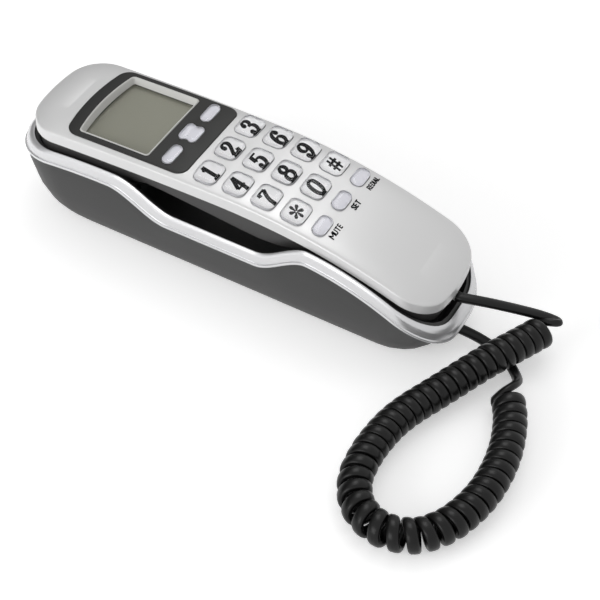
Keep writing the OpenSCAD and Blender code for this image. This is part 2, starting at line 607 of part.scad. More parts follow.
// Middle lines of the two leads, from the point where each one leaves its plug's straight end
handset_route = [[108.4, 1.6, 25.6], [112.4, 4.6, 24.6], [116.4, 7, 23], [120.4, 9.4, 21],
    [124.2, 12.8, 18.2], [128, 17.4, 15], [132.8, 20, 13.8], [138, 19.8, 13.6], [142.2, 18, 14.2],
    [144.8, 14.8, 15.4], [144, 11.8, 16.8]];
base_route = [[107, 1.2, 6.6], [110.8, 2.8, 4.8], [114.6, 3.6, 3], [118.4, 3.4, 2.1],
    [122.4, 2, 2], [126.2, -0.4, 2], [129.6, -3.2, 2], [132.2, -6.2, 2.2], [134.2, -9.4, 3.4],
    [136.4, -12, 5.6], [139, -14.2, 8.2], [141.6, -16.6, 10.6], [141.8, -19.2, 11.8]];
curl_r = (curl_od - cord_d) / 2;
coil_spans = len(coil_route) - 1;
cord_shift = base_len / 2 - 105.4;
CURL_RINGS = 8;
CURL_SIDES = 6;
LEAD_SIDES = 8;
TURN_STEP = 0.004;

function one(v) = v / norm(v);
// A smooth curve through points, at t spans from the first
function along(points, t) =
    let (n = len(points) - 1, i = max(0, min(floor(t), n - 1)), u = t - i,
         p1 = points[i], p2 = points[i + 1], p0 = i > 0 ? points[i - 1] : 2 * p1 - p2,
         p3 = i < n - 1 ? points[i + 2] : 2 * p2 - p1)
    (2 * p1 + (p2 - p0) * u + (2 * p0 - 5 * p1 + 4 * p2 - p3) * pow(u, 2)
        + (3 * p1 - p0 - 3 * p2 + p3) * pow(u, 3)) / 2;
function coil_axis(t) = along(coil_route, t) + [cord_shift, 0, curl_od / 2];
function coil_side(t) = let (d = coil_axis(t + TURN_STEP) - coil_axis(t - TURN_STEP))
    one([d[1], -d[0], 0]);
// The cord's middle line: a right-handed helix round the coil's middle line
function coil_point(t) = let (turn = 360 * curls * t / coil_spans)
    coil_axis(t) + curl_r * ([0, 0, cos(turn)] + sin(turn) * coil_side(t));
function coil_direction(t) = one(coil_point(t + TURN_STEP) - coil_point(t - TURN_STEP));
coil_steps = [for (i = [0:curls * CURL_RINGS]) i * coil_spans / (curls * CURL_RINGS)];
coil_start = coil_point(0) - cord_d * coil_direction(0);
coil_end = coil_point(coil_spans) + cord_d * coil_direction(coil_spans);

// A ring square to direction d, whose first corner lies along v
function tube_ring(c, d, v, sides) = let (e = one(v - (v * d) * d), f = cross(d, e))
    [for (k = [0:sides - 1]) c + cord_d / 2 * (cos(360 * k / sides) * e + sin(360 * k / sides) * f)];
function coil_ring(t, shift) = let (p = coil_point(t), d = coil_direction(t))
    tube_ring(p + shift * d, d, p - coil_axis(t), CURL_SIDES);
// The path of a lead, with two steps a span and a straight end square to what it meets
function lead_path(start, route, end, end_direction) =
    let (points = concat([start + [cord_d, 0, 0]], [for (p = route) p + [cord_shift, 0, 0]],
        [end + cord_d / 2 * end_direction]))
    concat([start], [for (i = [0:2 * (len(points) - 1)]) along(points, i / 2)], [end]);
// Rings that carry one direction along the path, so that the tube doesn't twist
function lead_rings(path) = let (n = len(path),
        d = [for (i = [0:n - 1]) one(path[min(i + 1, n - 1)] - path[max(i - 1, 0)])],
        v = [for (i = 0, w = [0, 0, 1]; i < n; w = let (m = d[min(i + 1, n - 1)]) one(w - (w * m) * m),
            i = i + 1) w])
    [for (i = [0:n - 1]) tube_ring(path[i], d[i], v[i], LEAD_SIDES)];
// Least distance between turns, on the middle points of the rings
function self_gap(p) = min([for (i = [0:len(p) - CURL_RINGS], j = [i + CURL_RINGS - 2:len(p) - 1])
    norm(p[i] - p[j])]) - cord_d;

module curly_cord() color([0.05, 0.05, 0.05]) {
    echo(coil_gap_to_itself_mm = self_gap([for (t = coil_steps) coil_point(t)]));
    loft(concat([coil_ring(0, -cord_d)], [for (t = coil_steps) coil_ring(t, 0)],
        [coil_ring(coil_spans, cord_d)]));
}
module handset_lead() color([0.05, 0.05, 0.05]) loft(lead_rings(lead_path(
    [handset_jack_x + plug_out, 0, handset_jack_z], handset_route, coil_start,
    -coil_direction(0))));
module base_lead() color([0.05, 0.05, 0.05]) loft(lead_rings(lead_path(
    [base_jack_x + plug_out, 0, base_jack_z], base_route, coil_end, coil_direction(coil_spans))));

// ---- nodes --------------------------------------------------------------------------------

handset_top_shell();
handset_bottom_shell();
display_panel();
display_frame();
display_lens();
lcd_module();
digit_key(0, -1);  // key_1
digit_key(0, 0);  // key_2
digit_key(0, 1);  // key_3
digit_key(1, -1);  // key_4
digit_key(1, 0);  // key_5
digit_key(1, 1);  // key_6
digit_key(2, -1);  // key_7
digit_key(2, 0);  // key_8
digit_key(2, 1);  // key_9
digit_key(3, -1);  // key_star
digit_key(3, 0);  // key_0
digit_key(3, 1);  // key_hash
func_key(-1);  // mute_key
func_key(0);  // set_key
func_key(1);  // redial_key
nav_key(-1);  // down_key
menu_key();
nav_key(1);  // up_key
keypad_mat();
main_board();
earpiece_speaker();
microphone();
handset_jack();
handset_screws();
handset_plug();
base_shell();
cradle();
silver_band();
hook_plunger();
hook_switch();
base_board();
ringer();
base_handset_jack();
line_jack();
rubber_feet();
base_screws();
base_plug();
curly_cord();
handset_lead();
base_lead();
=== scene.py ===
# %% [markdown]
# # A corded telephone in a boat-shaped base
# A slim handset with its keypad on the back lies in a desk base with a silver rim, and a curly cord
# joins the two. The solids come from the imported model, which is the fixed frame. This notebook
# dresses them: each piece either takes a finish as it is, or gets a smoother skin built here.

import json
import math

import bpy
import numpy as np
from mathutils import Matrix, Vector


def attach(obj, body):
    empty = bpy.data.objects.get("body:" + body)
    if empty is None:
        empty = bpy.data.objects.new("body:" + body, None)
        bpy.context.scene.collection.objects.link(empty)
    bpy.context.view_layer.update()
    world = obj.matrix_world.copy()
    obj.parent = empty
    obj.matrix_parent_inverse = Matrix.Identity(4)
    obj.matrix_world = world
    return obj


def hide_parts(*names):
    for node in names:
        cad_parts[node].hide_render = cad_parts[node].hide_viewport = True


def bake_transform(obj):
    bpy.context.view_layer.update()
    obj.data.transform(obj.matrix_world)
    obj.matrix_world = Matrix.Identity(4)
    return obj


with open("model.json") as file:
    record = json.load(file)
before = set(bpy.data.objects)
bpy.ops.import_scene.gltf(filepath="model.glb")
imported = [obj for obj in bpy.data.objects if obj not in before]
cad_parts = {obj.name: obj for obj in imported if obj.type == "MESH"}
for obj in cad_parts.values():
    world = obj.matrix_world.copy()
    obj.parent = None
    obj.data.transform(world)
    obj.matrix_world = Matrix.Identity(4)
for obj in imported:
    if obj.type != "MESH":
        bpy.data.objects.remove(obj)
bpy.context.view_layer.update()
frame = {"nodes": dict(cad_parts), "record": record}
MM = 0.001

# %% [markdown]
# ## Camera
# A long lens stands well back and looks down on the phone from its cord side, as in a catalogue.
# The camera is placed by its own axes: right, up and backwards.

# %% Camera
AZIMUTH, ELEVATION, ROLL = (math.radians(v) for v in (25.46, 46.81, 4.0))
CAMERA_PLACE, LENS, FILM_WIDTH = (0.23105, -0.4258, 0.4859), 92.54, 36
backwards = Vector((math.sin(AZIMUTH) * math.cos(ELEVATION),
                    -math.cos(AZIMUTH) * math.cos(ELEVATION), math.sin(ELEVATION)))
level = Vector((math.cos(AZIMUTH), math.sin(AZIMUTH), 0))
raised = backwards.cross(level)
right = math.cos(ROLL) * level + math.sin(ROLL) * raised
up = -math.sin(ROLL) * level + math.cos(ROLL) * raised
camera = bpy.data.objects.new("camera", bpy.data.cameras.new("camera"))
camera.data.sensor_width = FILM_WIDTH
camera.data.lens = LENS
camera.data.clip_start = 0.01
camera.matrix_world = Matrix.Translation(CAMERA_PLACE) @ Matrix(
    (right, up, backwards)).transposed().to_4x4()
bpy.context.collection.objects.link(camera)
bpy.context.scene.camera = camera
print("the camera stands", round(camera.location.length, 3), "m from the phone")

# %% [markdown]
# ## Finishes
# Nearly every surface here is moulded plastic, so one helper makes them all: a Principled shader
# with its colour and gloss on its own sockets, and a fine grain as a bump where the mould had one.

# %% A helper for finishes
GRAIN_SIZE, GRAIN_DEPTH = 0.4 * MM, 0.05 * MM


def finish(name, colour, roughness, metallic=0.0, grain=0.0, **more):
    """A material; grain is the strength of its bump, and more sets other sockets by their names."""
    material = bpy.data.materials.new(name)
    material.use_nodes = True
    shader = material.node_tree.nodes["Principled BSDF"]
    shader.inputs["Base Color"].default_value = (*colour, 1)
    shader.inputs["Roughness"].default_value = roughness
    shader.inputs["Metallic"].default_value = metallic
    for socket, value in more.items():
        shader.inputs[socket.replace("_", " ")].default_value = value
    if grain:
        make, join = material.node_tree.nodes.new, material.node_tree.links.new
        place, noise = make("ShaderNodeTexCoord"), make("ShaderNodeTexNoise")
        bump = make("ShaderNodeBump")
        noise.inputs["Scale"].default_value = 1 / GRAIN_SIZE
        noise.inputs["Detail"].default_value = 2
        bump.inputs["Strength"].default_value = grain
        bump.inputs["Distance"].default_value = GRAIN_DEPTH
        join(place.outputs["Object"], noise.inputs["Vector"])
        join(noise.outputs["Fac"], bump.inputs["Height"])
        join(bump.outputs["Normal"], shader.inputs["Normal"])
    return material


FINISH = {
    "silver": finish("silver_paint", (0.68, 0.68, 0.68), 0.36, metallic=0.3, grain=0.12),
    "band_silver": finish("band_paint", (0.67, 0.67, 0.68), 0.26, metallic=0.6, grain=0.12),
    "dark_shell": finish("dark_plastic", (0.030, 0.029, 0.029), 0.42, grain=0.2),
    "hull_grey": finish("hull_plastic", (0.044, 0.044, 0.044), 0.5, grain=0.3,
                        Specular_IOR_Level=0.35),
    "cradle_black": finish("cradle_plastic", (0.018, 0.018, 0.018), 0.5, grain=0.2),
    "panel": finish("panel_plastic", (0.017, 0.017, 0.016), 0.42, Specular_IOR_Level=0.3),
    "frame_light": finish("window_frame", (0.60, 0.60, 0.58), 0.3),
    "lens": finish("window_lens", (0.6, 0.6, 0.55), 0.08, Alpha=0.08),
    "lcd": finish("lcd_glass", (0.24, 0.24, 0.18), 0.3),
    "key_clear": finish("key_clear", (1.0, 1.0, 1.0), 0.02, Transmission_Weight=1.0, IOR=1.45,
                        Specular_Tint=(0.3, 0.3, 0.3, 1.0)),
    "key_grey": finish("key_grey", (0.95, 0.95, 0.98), 0.06, Transmission_Weight=1.0, IOR=1.45,
                       Specular_IOR_Level=0.35),
    "mat": finish("mat_silicone", (0.45, 0.45, 0.43), 0.6),
    "board": finish("board_green", (0.01, 0.10, 0.03), 0.4),
    "part_black": finish("part_black", (0.015, 0.015, 0.015), 0.35),
    "speaker": finish("speaker_metal", (0.15, 0.15, 0.16), 0.4, metallic=0.8),
    "screw_steel": finish("screw_steel", (0.45, 0.45, 0.46), 0.3, metallic=1.0),
    "plug_clear": finish("plug_clear", (0.75, 0.76, 0.74), 0.12, Alpha=0.5),
    "feet": finish("feet_rubber", (0.02, 0.02, 0.02), 0.75),
    "cord_black": finish("cord_jacket", (0.005, 0.005, 0.005), 0.3, Specular_IOR_Level=0.24),
}
PLATE = finish("key_plate", (0.86, 0.86, 0.87), 0.35)
CORE = finish("key_core", (0.80, 0.80, 0.83), 0.4)
# The grey of the ring round each plate is painted shade, for the dim band at a key's edge
KEY_SHADE_RING = finish("key_rim", (0.56, 0.56, 0.58), 0.5)
PRINT = finish("print_black", (0.006, 0.006, 0.007), 0.7, Specular_IOR_Level=0)
print(len(FINISH), "finishes for the record's slots, and four for plates, rims and prints")

# %% [markdown]
# ## The curly cord
# The cord leaves the plug in the base as a straight lead, winds into a coil of 46 curls that lies
# on the table in a loop, and comes back to the handset as a second straight lead. The coil is a
# helix round a smooth route, so both are computed, and a soft flat-sided section is swept along.
# The jacket is as wide as the room between two curls allows, which is how a soft cord packs.

# %% The route of the coil
CORD_D, CURL_OD, CURLS = 3.6, 14.4, 46
CURL_R = (CURL_OD - CORD_D) / 2
PER_TURN = 28
SLOPE_STEP = 0.004  # spans to each side of a point, over which the route's direction is taken
# Middle line of the coil, from the handset's end to the base's end: X, Y and height of its
# underside above the floor
coil_route = np.array([[136, 13.4, 5], [131.6, 4.2, 5], [127, -5, 5], [122.2, -14, 4.4],
    [117.4, -22.8, 2.8], [112.8, -31.6, 1.2], [108.4, -40.6, 0.2], [104.4, -49.8, 0],
    [101.4, -59.4, 0], [99.8, -69.6, 0], [99.4, -80.4, 0], [101.2, -92.6, 0], [107.8, -103, 0],
    [119.2, -107.8, 0], [131.6, -104.6, 0], [139.8, -95.4, 0], [144.2, -85, 0], [146.6, -74.4, 0],
    [147.2, -63.6, 0], [146.4, -53, 0], [144.2, -42.8, 0], [140.8, -33.2, 0], [135.6, -23.8, 0]])
SPANS = len(coil_route) - 1


def along(points, t):
    """Points on a smooth curve, t spans from its first point."""
    t = np.atleast_1d(t)
    ends = np.vstack([2 * points[0] - points[1], points, 2 * points[-1] - points[-2]])
    i = np.clip(np.floor(t).astype(int), 0, len(points) - 2)
    u = (t - i)[:, None]
    a, b, c, d = ends[i], ends[i + 1], ends[i + 2], ends[i + 3]
    return (2 * b + (c - a) * u + (2 * a - 5 * b + 4 * c - d) * u**2
            + (3 * b - a - 3 * c + d) * u**3) / 2


def units(v):
    return v / np.linalg.norm(v, axis=-1, keepdims=True)


def length_of(line):
    return np.linalg.norm(np.diff(line, axis=0), axis=1).sum()


def coil_axis(t):
    return along(coil_route, t) + [0, 0, CURL_OD / 2]


def coil_point(t):
    """The cord's middle line: a helix round the coil's middle line."""
    way = coil_axis(t + SLOPE_STEP) - coil_axis(t - SLOPE_STEP)
    side = units(np.stack([way[:, 1], -way[:, 0], 0 * way[:, 0]], 1))
    turn = 2 * math.pi * CURLS * np.atleast_1d(t)[:, None] / SPANS
    return coil_axis(t) + CURL_R * (np.cos(turn) * [0, 0, 1] + np.sin(turn) * side)


coil_t = np.linspace(0, SPANS, CURLS * PER_TURN + 1)
coil_line = coil_point(coil_t)
coil_length = length_of(coil_line)
print("the coil holds", round(coil_length), "mm of cord")

# %% The leads
PLUG_OUT = 3.0
HANDSET_JACK_X, HANDSET_JACK_Z, BASE_JACK_X, BASE_JACK_Z = 96.8, 25.4, 96.5, 7.5
LEAD_STEP, RELAX_ROUNDS = 0.6, 220
# Points that stay put while a lead relaxes, at its plug and at the coil
HELD_FIRST, HELD_LAST = 4, 12
handset_exit = np.array([HANDSET_JACK_X + PLUG_OUT, 0, HANDSET_JACK_Z])
base_exit = np.array([BASE_JACK_X + PLUG_OUT, 0, BASE_JACK_Z])
handset_route = np.array([[104, 0.3, 25.6], [112.4, 4.2, 24.4], [120.4, 9.0, 21.4], [128, 15, 17.0],
    [134, 18.6, 14.6], [140, 19.4, 14.0], [143.8, 17.2, 15.0]])
base_route = np.array([[104, 0.4, 6.9], [110.8, 2.4, 4.6], [118.4, 2.8, 2.3], [126.2, -0.4, 2],
    [131.4, -5.0, 2.1], [134.6, -9.6, 3.2], [136.6, -13.4, 6.0], [137.6, -16.4, 9.4]])


def spaced(line, step):
    """The same line with its points evenly apart."""
    run = np.concatenate([[0], np.cumsum(np.linalg.norm(np.diff(line, axis=0), axis=1))])
    at = np.linspace(0, run[-1], max(2, round(run[-1] / step)) + 1)
    return np.stack([np.interp(at, run, line[:, k]) for k in range(3)], 1)


def lead_line(start, route, line):
    """A lead from its plug that runs on into the coil's first points, and relaxes on the way."""
    points = np.vstack([start, start + [CORD_D, 0, 0], route, line[0]])
    curve = along(points, np.linspace(0, len(points) - 1, 8 * len(points)))
    lead = spaced(np.vstack([curve, line[1:]]), LEAD_STEP)
    free = lead[HELD_FIRST:-HELD_LAST]
    before, after = lead[HELD_FIRST - 1:-HELD_LAST - 1], lead[HELD_FIRST + 1:-HELD_LAST + 1]
    for _ in range(RELAX_ROUNDS):
        free += 0.5 * ((before + after) / 2 - free)
    return lead


JOIN = PER_TURN // 2
handset_line = lead_line(handset_exit, handset_route, coil_line[:JOIN])
base_line = lead_line(base_exit, base_route, coil_line[::-1][:JOIN])
print("the leads are", [round(length_of(line)) for line in (handset_line, base_line)],
      "mm long, with half a curl each")

# %% [markdown]
# ## Meshes from rings
# Shells, bands, keys and cords are all rings of points, joined by a skin. Rings that are symmetric
# about the X axis can be closed by strips that run straight across, which keep a face clean.

# %% Helpers that make a mesh
def piece(name, body, slot, verts, faces, sharp=35, replaces=(), material=None):
    """A new mesh piece, from points in millimetres."""
    mesh = bpy.data.meshes.new(name)
    mesh.from_pydata((np.asarray(verts) * MM).tolist(), [], [list(map(int, f)) for f in faces])
    mesh.validate()
    obj = bpy.data.objects.new(name, mesh)
    bpy.context.collection.objects.link(obj)
    return dress(obj, body, slot, sharp, replaces, material)


def dress(obj, body, slot, sharp=35, replaces=(), material=None):
    """Finish, smooth shading with sharp creases, and the body that carries the piece."""
    obj.data.materials.clear()
    obj.data.materials.append(material or FINISH[slot])
    obj.data.shade_smooth()
    obj.data.set_sharp_from_angle(angle=math.radians(sharp))
    if body:
        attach(obj, body)
    if replaces:
        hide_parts(*replaces)
    return obj


def skin(rings, ends="strips"):
    """Verts and faces of a skin over rings; ends is strips, round or loop."""
    rings = np.asarray(rings, float)
    count, n = rings.shape[:2]
    faces = []
    for k in range(count if ends == "loop" else count - 1):
        m = (k + 1) % count
        for i in range(n):
            j = (i + 1) % n
            faces.append((k * n + i, k * n + j, m * n + j, m * n + i))
    if ends == "strips":
        for k, flip in ((0, True), (count - 1, False)):
            for i in range(n // 2):
                row = [i, i + 1, n - i - 1, (n - i) % n]
                row = [k * n + v for v in dict.fromkeys(row)]
                faces.append(row[::-1] if flip else row)
    if ends == "round":
        faces.append(list(range(n))[::-1])
        faces.append([(count - 1) * n + i for i in range(n)])
    return rings.reshape(-1, 3), faces


def cut(obj, cutters):
    """Takes the cutters out of obj for good, and deletes them."""
    for cutter in cutters:
        step = obj.modifiers.new("cut", "BOOLEAN")
        step.operation, step.solver, step.object = "DIFFERENCE", "EXACT", cutter
    whole = obj.evaluated_get(bpy.context.evaluated_depsgraph_get())
    made = bpy.data.meshes.new_from_object(whole)
    obj.modifiers.clear()
    obj.data = made
    for cutter in cutters:
        bpy.data.objects.remove(cutter)
    return obj


def soften(obj, width, segments=2, angle=40):
    """Rounds the sharp edges, as a mould does."""
    step = obj.modifiers.new("soften", "BEVEL")
    step.width, step.segments, step.limit_method = width * MM, segments, "ANGLE"
    step.angle_limit, step.harden_normals = math.radians(angle), True
    return obj


print("helpers ready")

# %% Sweep the cord
JACKET_THICK, LEAD_WIDE, WIDEST, PLAY = 3.3, 4.4, 5.0, 0.08
FLATNESS = 0.72  # 1 gives an oval section, and less gives flatter sides
NO_NEIGHBOUR = 9.0
# The last points of a lead, and how many of them its width takes to become the coil's
LEAD_TAIL, WIDTH_CHANGE = 30, 24


def tube(line, outward, widths, thick, sides=14):
    """Rings of a soft flat-sided section: its width lies along the coil, thick points outward."""
    way = units(np.gradient(line, axis=0))
    out = units(outward - (outward * way).sum(1, keepdims=True) * way)
    across = np.cross(way, out)
    turn = np.linspace(0, 2 * math.pi, sides, endpoint=False)
    flat = lambda v: np.sign(v) * np.abs(v) ** FLATNESS
    x, y = flat(np.cos(turn)), flat(np.sin(turn))
    return (line[:, None] + thick / 2 * x[None, :, None] * out[:, None]
            + (np.asarray(widths) / 2).reshape(-1, 1, 1) * y[None, :, None] * across[:, None])


def carried(line, first):
    """A direction carried along the line without twist."""
    way = units(np.gradient(line, axis=0))
    rows = [np.asarray(first, float)]
    for w in way[1:]:
        v = rows[-1] - (rows[-1] @ w) * w
        rows.append(v / np.linalg.norm(v))
    return np.array(rows)


back_gap = np.linalg.norm(coil_line[PER_TURN:] - coil_line[:-PER_TURN], axis=1)
alone = np.full(PER_TURN, NO_NEIGHBOUR)
gap = np.minimum(np.concatenate([back_gap, alone]), np.concatenate([alone, back_gap]))
coil_widths = np.clip(gap - PLAY, JACKET_THICK, WIDEST)
middle = slice(JOIN - 1, len(coil_line) - JOIN + 1)
coil_rings = tube(coil_line, coil_line - coil_axis(coil_t), coil_widths, JACKET_THICK)[middle]
curls = piece("cord_curls", "base", "cord_black", *skin(coil_rings, "round"),
              replaces=["curly_cord"])
# The leads take half a curl at each end of the coil
whole_cord = coil_length * (CURLS - 1) / CURLS
for name, body, line, node, last in (
        ("cord_handset_lead", None, handset_line, "handset_lead", JOIN - 1),
        ("cord_base_lead", "base", base_line, "base_lead", -JOIN)):
    outward = carried(line[::-1], line[-1] - coil_axis(coil_t[last])[0])[::-1]
    share = np.clip((np.arange(len(line)) - len(line) + LEAD_TAIL) / WIDTH_CHANGE, 0, 1)
    widths = LEAD_WIDE + (coil_widths[last] - LEAD_WIDE) * share
    rings = tube(line, outward, widths, JACKET_THICK)
    lead = piece(name, body, "cord_black", *skin(rings, "round"), replaces=[node])
    if body is None:
        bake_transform(lead)
    length = length_of(line)
    whole_cord += length
print("the cord is", round(whole_cord), "mm long in all")

# %% [markdown]
# ## Floor and light
# The phone stands on a plain white floor under a white sky. The floor adds a little of its own
# light where it is seen, mirrored or looked at through a clear piece, so that it reads as white
# paper and still takes the shadow.

# %% Floor
FLOOR_REACH, PAPER_GLOW = 3, 0.4


def seen_or_mirrored(tree):
    """1 for what is seen, mirrored or looked at through a clear piece, 0 for light on things."""
    ray, total = tree.nodes.new("ShaderNodeLightPath"), None
    for kind in ("Is Camera Ray", "Is Glossy Ray", "Is Transmission Ray"):
        if total is None:
            total = ray.outputs[kind]
            continue
        either = tree.nodes.new("ShaderNodeMath")
        either.operation = "MAXIMUM"
        tree.links.new(total, either.inputs[0])
        tree.links.new(ray.outputs[kind], either.inputs[1])
        total = either.outputs[0]
    return total


floor_mesh = bpy.data.meshes.new("floor")
floor_mesh.from_pydata([(x * FLOOR_REACH, y * FLOOR_REACH, 0) for x, y in
                        ((-1, -1), (1, -1), (1, 1), (-1, 1))], [], [(0, 1, 2, 3)])
floor = bpy.data.objects.new("floor", floor_mesh)
bpy.context.collection.objects.link(floor)
paper = finish("white_paper", (0.93, 0.93, 0.93), 0.9)
floor_nodes, floor_links = paper.node_tree.nodes, paper.node_tree.links
glow = floor_nodes.new("ShaderNodeMath")
glow.operation = "MULTIPLY"
glow.inputs[1].default_value = PAPER_GLOW
floor_links.new(seen_or_mirrored(paper.node_tree), glow.inputs[0])
floor_links.new(glow.outputs[0], floor_nodes["Principled BSDF"].inputs["Emission Strength"])
floor_nodes["Principled BSDF"].inputs["Emission Color"].default_value = (1, 1, 1, 1)
floor_nodes["Principled BSDF"].inputs["Specular IOR Level"].default_value = 0
floor.data.materials.append(paper)
print("floor laid")

# %% Light
# The sky's strength as a light, the way to its dim side, and how near to that way the dimming
# starts and ends
SKY_LIGHT, DIM_WAY, DIM_FROM, DIM_TO, DIMMEST = 0.55, (-1.0, 0.2, -0.1), 0.32, 0.82, 0.1
world = bpy.data.worlds.new("studio")
bpy.context.scene.world = world
world.use_nodes = True
sky = world.node_tree.nodes["Background"]
sky.inputs["Color"].default_value = (1, 1, 1, 1)


def remap(value, from_min, from_max, to_min, to_max):
    """A soft step of the sky's own nodes."""
    node = world.node_tree.nodes.new("ShaderNodeMapRange")
    node.interpolation_type = "SMOOTHSTEP"
    for name, number in (("From Min", from_min), ("From Max", from_max), ("To Min", to_min),
                         ("To Max", to_max)):
        node.inputs[name].default_value = number
    world.node_tree.links.new(value, node.inputs["Value"])
    return node.outputs["Result"]


# The sky is white where it is seen or mirrored, but for a dim side by the earpiece end
gaze = world.node_tree.nodes.new("ShaderNodeTexCoord")
toward = world.node_tree.nodes.new("ShaderNodeVectorMath")
toward.operation, toward.inputs[1].default_value = "DOT_PRODUCT", DIM_WAY
world.node_tree.links.new(gaze.outputs["Generated"], toward.inputs[0])
side = remap(toward.outputs["Value"], DIM_FROM, DIM_TO, 1.0, DIMMEST)
level_of_sky = remap(seen_or_mirrored(world.node_tree), 0, 1, SKY_LIGHT, 1.0)
world.node_tree.links.new(side, level_of_sky.node.inputs["To Max"])
world.node_tree.links.new(level_of_sky, sky.inputs["Strength"])


def lamp(name, place, target, size, power, lights=True, mirrored=True):
    """A soft box, which may light things, show as a highlight in them, or both."""
    data = bpy.data.lights.new(name, "AREA")
    data.shape, data.size, data.size_y, data.energy = "RECTANGLE", size[0], size[1], power
    obj = bpy.data.objects.new(name, data)
    obj.location = place
    obj.rotation_euler = (Vector(target) - Vector(place)).to_track_quat("-Z", "Y").to_euler()
    obj.visible_diffuse, obj.visible_glossy = lights, mirrored
    bpy.context.collection.objects.link(obj)


lamp("key_light", (-0.7, -1.1, 0.5), (0, 0, 0.03), (0.9, 0.6), 9, mirrored=False)
lamp("front_card", (-0.1, -1.1, 0.5), (0, 0, 0.03), (0.6, 0.6), 3.5, lights=False)
lamp("top_light", (-0.1, 0.62, 1.15), (0.02, 0, 0), (0.9, 0.8), 2.2, mirrored=False)
lamp("top_card", (-0.18, 0.5, 1.15), (0, 0, 0), (0.55, 0.75), 3.6, lights=False)
bpy.context.scene.view_settings.view_transform = "Standard"
print("two soft lamps, two cards that only shine in the paint, and a white sky")

# %% [markdown]
# ## Outlines
# The handset, the base and the keys share one outline: straight sides, round corners and bowed
# ends. One function returns it, point by point, so that a value may differ from point to point.

# %% The outline
def outline(a, b, corner, bow, end_n=10, corner_n=14, side_n=30):
    """Points of half length a and half width b; the counts are those of one quarter's parts."""
    kind = np.concatenate([np.zeros(end_n), np.ones(corner_n), np.full(side_n + 1, 2)])
    share = np.concatenate([np.arange(end_n) / end_n, np.arange(corner_n) / corner_n,
                            np.arange(side_n + 1) / side_n])
    order = np.arange(len(kind))
    loop = np.concatenate([order, order[-2::-1], order[1:], order[-2:0:-1]])
    quarter = len(order)
    sx = np.ones(len(loop))
    sx[quarter:3 * quarter - 2] = -1
    sy = np.ones(len(loop))
    sy[2 * quarter - 1:] = -1
    kind, share = kind[loop], share[loop]
    middle = a - bow + np.sqrt((bow - corner) ** 2 - (b - corner) ** 2)
    turn = np.arctan2(b - corner, middle - (a - bow))
    swing = np.where(kind == 0, turn * share, turn + (math.pi / 2 - turn) * share)
    x = np.where(kind == 0, a - bow + bow * np.cos(swing),
                 np.where(kind == 1, middle + corner * np.cos(swing), middle * (1 - share)))
    y = np.where(kind == 0, bow * np.sin(swing),
                 np.where(kind == 1, b - corner + corner * np.sin(swing), b))
    return np.stack([x * sx, y * sy], 1)


def with_z(points, z):
    """The points of an outline at height z, which may be one for all or one each."""
    return np.column_stack([points, np.broadcast_to(z, len(points))])


def ease(t):
    """A soft step from 0 to 1."""
    t = np.clip(t, 0, 1)
    return t * t * (3 - 2 * t)


print(len(outline(50, 20, 8, 90)), "points in an outline")

# %% [markdown]
# ## The base
# The band is a silver moulding that caps the dark hull. It dips between two wings so that a hand
# can get round the grip. Its section has a sloping top, a flat side, and a lip at its foot.

# %% The silver band
BASE_LEN, BASE_W, MOUTH_LEN, MOUTH_W, MOUTH_X, RIM_H = 210.8, 59.0, 201.8, 54.4, 0.8, 6.6
BASE_CORNER, MOUTH_CORNER, BASE_BOW = 22.5, 20, 200
# Heights of the two wings and of the dip between them
EAR_WING_Z, DIP_Z, CORD_WING_Z = 43.8, 33.2, 45.2
# Where the band falls into the dip and rises out of it, and how far each slope runs
FALL_X, FALL_RUN, RISE_X, RISE_RUN = -49, 29, 19, 24.5
# Where each wing starts to sink towards its end, and where the cord end sinks faster
EAR_SINK_X, CORD_SINK_X, TAIL_X = -50, 42, 85


def rim_z(x, t):
    """Height of the band's upper edge; its foot, at t = 1, has slopes a little to the side."""
    left = EAR_WING_Z - 0.0018 * np.maximum(EAR_SINK_X - x, 0) ** 2
    past = np.maximum(x - CORD_SINK_X, 0)
    tail = 0.012 * (1 - 0.45 * t) * np.maximum(x - TAIL_X, 0) ** 2
    wing = CORD_WING_Z - 0.08 * past - 0.0048 * past**2 - tail
    z = left + (DIP_Z - left) * ease((x - FALL_X + 3.5 * t) / FALL_RUN)
    return z + (wing - z) * ease((x - RISE_X - 0.6 * t) / RISE_RUN)


def rim_ring(u, inset, drop):
    """A ring of the band; u is 0 on the hull's outline and 1 on the mouth's."""
    mix = lambda p, q: p + (q - p) * u
    points = outline(mix(BASE_LEN, MOUTH_LEN) / 2 - inset, mix(BASE_W, MOUTH_W) / 2 - inset,
                     mix(BASE_CORNER, MOUTH_CORNER) - inset, BASE_BOW, side_n=90)
    points[:, 0] += MOUTH_X * u
    return with_z(points, rim_z(points[:, 0], min(1, drop / RIM_H)) - drop)


# Each ring's place from the hull's outline to the mouth's, its inset and its drop
band_section = [(0, 0.3, 6.6), (0, 0.06, 6.45), (0, 0, 6.25), (0, 0, 5.42), (0, 0.06, 5.28),
                (0, 0.5, 5.2), (0, 0.6, 5.08), (0, 0.6, 4.9), (0.22, 0.33, 1.8), (0.25, 0.3, 1.55),
                (0.29, 0.3, 1.3), (0.46, 0.3, 0.5), (0.5, 0.3, 0.4), (0.54, 0.27, 0.3),
                (0.8, 0.03, 0.02), (0.88, 0, 0), (0.96, 0, 0.1), (1, 0, 0.4), (1, 0, 6.6)]
piece("band_skin", "base", "band_silver",
      *skin([rim_ring(*s) for s in band_section], "loop"), sharp=30, replaces=["silver_band"])
print("the band has", len(band_section), "rings")

# %% [markdown]
# ## The handset's upper shell
# The painted face is arched along its length and falls a little towards its edges. A narrow
# shoulder leads to the side band. The key holes and the display's place are cut out of it.

